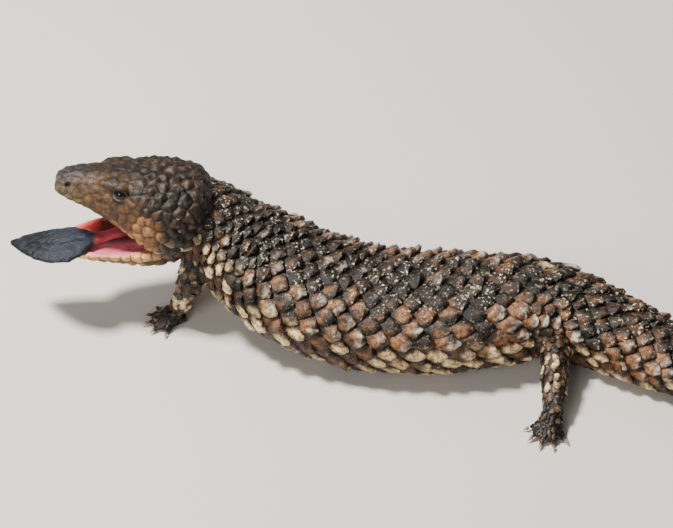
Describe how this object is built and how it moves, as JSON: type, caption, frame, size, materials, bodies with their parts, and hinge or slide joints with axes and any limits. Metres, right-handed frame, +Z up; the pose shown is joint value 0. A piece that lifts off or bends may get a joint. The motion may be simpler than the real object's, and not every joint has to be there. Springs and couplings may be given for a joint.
{
  "type": "shingleback skink",
  "caption": "Life-size still model of a stout skink with pine-cone scales and a short thick tail, forebody raised on its forelegs, mouth open and a broad tongue out.",
  "frame": {"origin": "on the floor, on the flat of the belly under the middle of the trunk", "axes": "+X from the head towards the tail, -Y towards the animal's left side, +Z up"},
  "size_m": [0.3587, 0.1434, 0.0869],
  "materials": {
    "head": "dry horny plates, dark brown with tan cheeks",
    "jaw": "dry scales, cream lips and tan chin",
    "back": "dry overlapping scales, dark brown with cream flecks",
    "leg": "dry small scales, dark with cream flecks",
    "tongue": "moist, dark slate blue",
    "eye": "wet and glossy, dark brown",
    "claw": "dry horn"
  },
  "bodies": {
    "root": {"head": "head", "lower_jaw": "jaw", "tongue": "tongue", "eye_left": "eye", "eye_right": "eye", "neck": "back", "trunk_front": "back", "trunk_middle": "back", "trunk_rear": "back", "tail_base": "back", "tail_tip": "back", "front_left_claw_1": "claw", "front_left_claw_2": "claw", "front_left_claw_3": "claw", "front_left_claw_4": "claw", "front_left_claw_5": "claw", "front_left_foot": "leg", "front_left_lower_leg": "leg", "front_left_upper_leg": "leg", "front_right_claw_1": "claw", "front_right_claw_2": "claw", "front_right_claw_3": "claw", "front_right_claw_4": "claw", "front_right_claw_5": "claw", "front_right_foot": "leg", "front_right_lower_leg": "leg", "front_right_upper_leg": "leg", "hind_left_claw_1": "claw", "hind_left_claw_2": "claw", "hind_left_claw_3": "claw", "hind_left_claw_4": "claw", "hind_left_claw_5": "claw", "hind_left_foot": "leg", "hind_left_lower_leg": "leg", "hind_left_upper_leg": "leg", "hind_right_claw_1": "claw", "hind_right_claw_2": "claw", "hind_right_claw_3": "claw", "hind_right_claw_4": "claw", "hind_right_claw_5": "claw", "hind_right_foot": "leg", "hind_right_lower_leg": "leg", "hind_right_upper_leg": "leg"}
  },
  "joints": []
}
